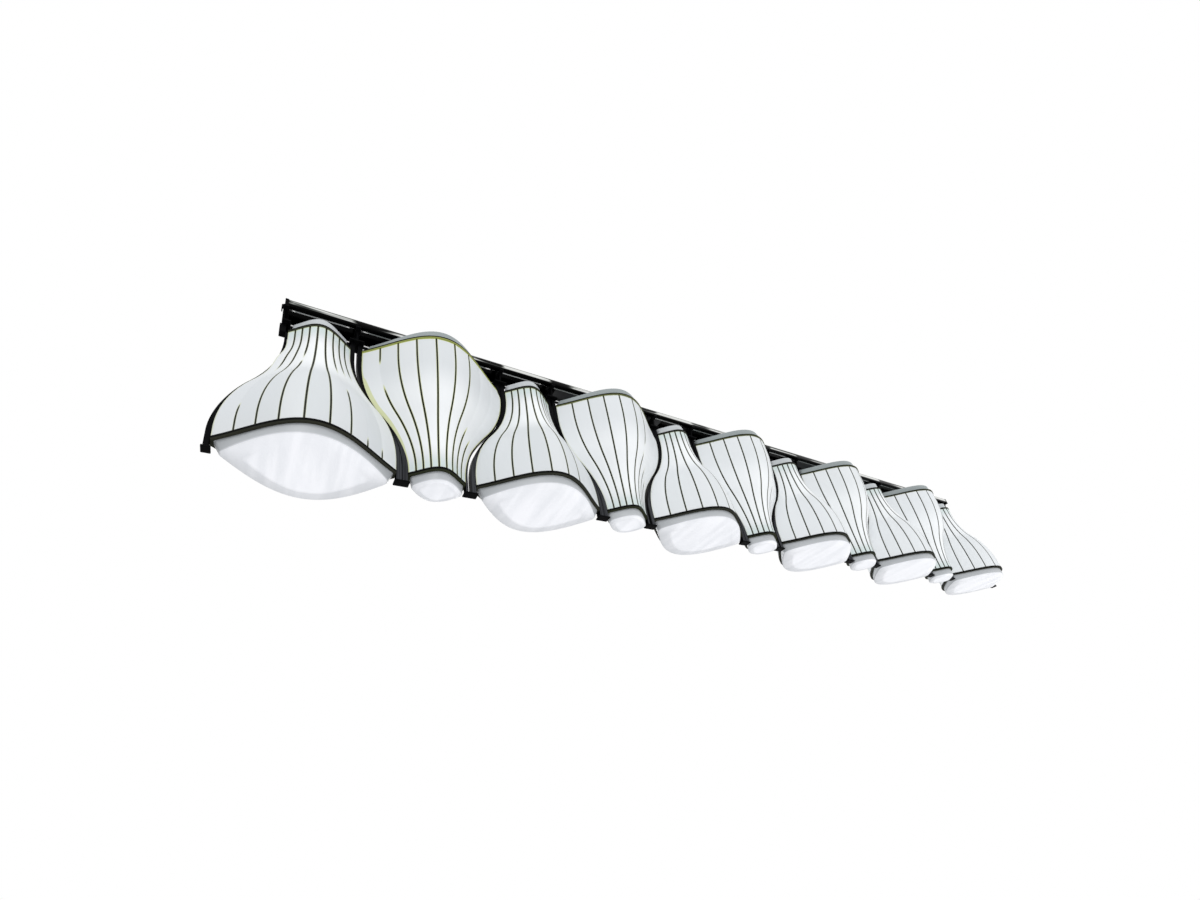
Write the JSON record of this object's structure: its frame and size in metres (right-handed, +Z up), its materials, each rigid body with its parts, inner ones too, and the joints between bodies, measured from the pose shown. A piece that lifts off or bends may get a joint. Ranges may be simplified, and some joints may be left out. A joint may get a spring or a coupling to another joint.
{
  "type": "pendant lamp",
  "caption": "Long linear pendant lamp: a row of pleated translucent shades, alternately upright and inverted, hung by short brackets under a slim channel rail.",
  "frame": {"origin": "centre of the rail's top face, midway between its two suspension points", "axes": "+Z up, +X along the row of shades, -Y towards the viewer of the picture"},
  "size_m": [1.995, 0.1538, 0.3045],
  "materials": {
    "rail_polished": "polished",
    "black_coating": "satin black",
    "skin_sheet": "translucent white, pleated",
    "opal_diffuser": "opal white",
    "column_aluminium": "satin",
    "board_white": "white solder mask",
    "driver_case": "pale grey",
    "terminal_white": "white",
    "bolt_steel": "dark zinc",
    "insert_steel": "zinc plated",
    "gland_black": "black"
  },
  "bodies": {
    "root": {"top_rail": "rail_polished", "end_plate_left": "black_coating", "end_plate_right": "black_coating", "rail_hangers": "black_coating", "pad_bolts": "bolt_steel", "joint_feet": "black_coating", "bell_side_bars": "black_coating", "inverted_side_bars": "black_coating", "bell_lower_frames": "black_coating", "bell_lower_diffusers": "opal_diffuser", "bell_upper_frames": "black_coating", "bell_upper_diffusers": "opal_diffuser", "inverted_lower_frames": "black_coating", "inverted_lower_diffusers": "opal_diffuser", "inverted_upper_frames": "black_coating", "inverted_upper_diffusers": "opal_diffuser", "front_skin_01": "skin_sheet", "rear_skin_01": "skin_sheet", "lamp_column_01": "column_aluminium", "front_skin_02": "skin_sheet", "rear_skin_02": "skin_sheet", "lamp_column_02": "column_aluminium", "front_skin_03": "skin_sheet", "rear_skin_03": "skin_sheet", "lamp_column_03": "column_aluminium", "front_skin_04": "skin_sheet", "rear_skin_04": "skin_sheet", "lamp_column_04": "column_aluminium", "front_skin_05": "skin_sheet", "rear_skin_05": "skin_sheet", "lamp_column_05": "column_aluminium", "front_skin_06": "skin_sheet", "rear_skin_06": "skin_sheet", "lamp_column_06": "column_aluminium", "front_skin_07": "skin_sheet", "rear_skin_07": "skin_sheet", "lamp_column_07": "column_aluminium", "front_skin_08": "skin_sheet", "rear_skin_08": "skin_sheet", "lamp_column_08": "column_aluminium", "front_skin_09": "skin_sheet", "rear_skin_09": "skin_sheet", "lamp_column_09": "column_aluminium", "front_skin_10": "skin_sheet", "rear_skin_10": "skin_sheet", "lamp_column_10": "column_aluminium", "front_skin_11": "skin_sheet", "rear_skin_11": "skin_sheet", "lamp_column_11": "column_aluminium", "lamp_carriers": "column_aluminium", "led_boards": "board_white", "driver_left": "driver_case", "driver_right": "driver_case", "terminal_block": "terminal_white", "suspension_inserts": "insert_steel", "cable_gland": "gland_black"}
  },
  "joints": []
}
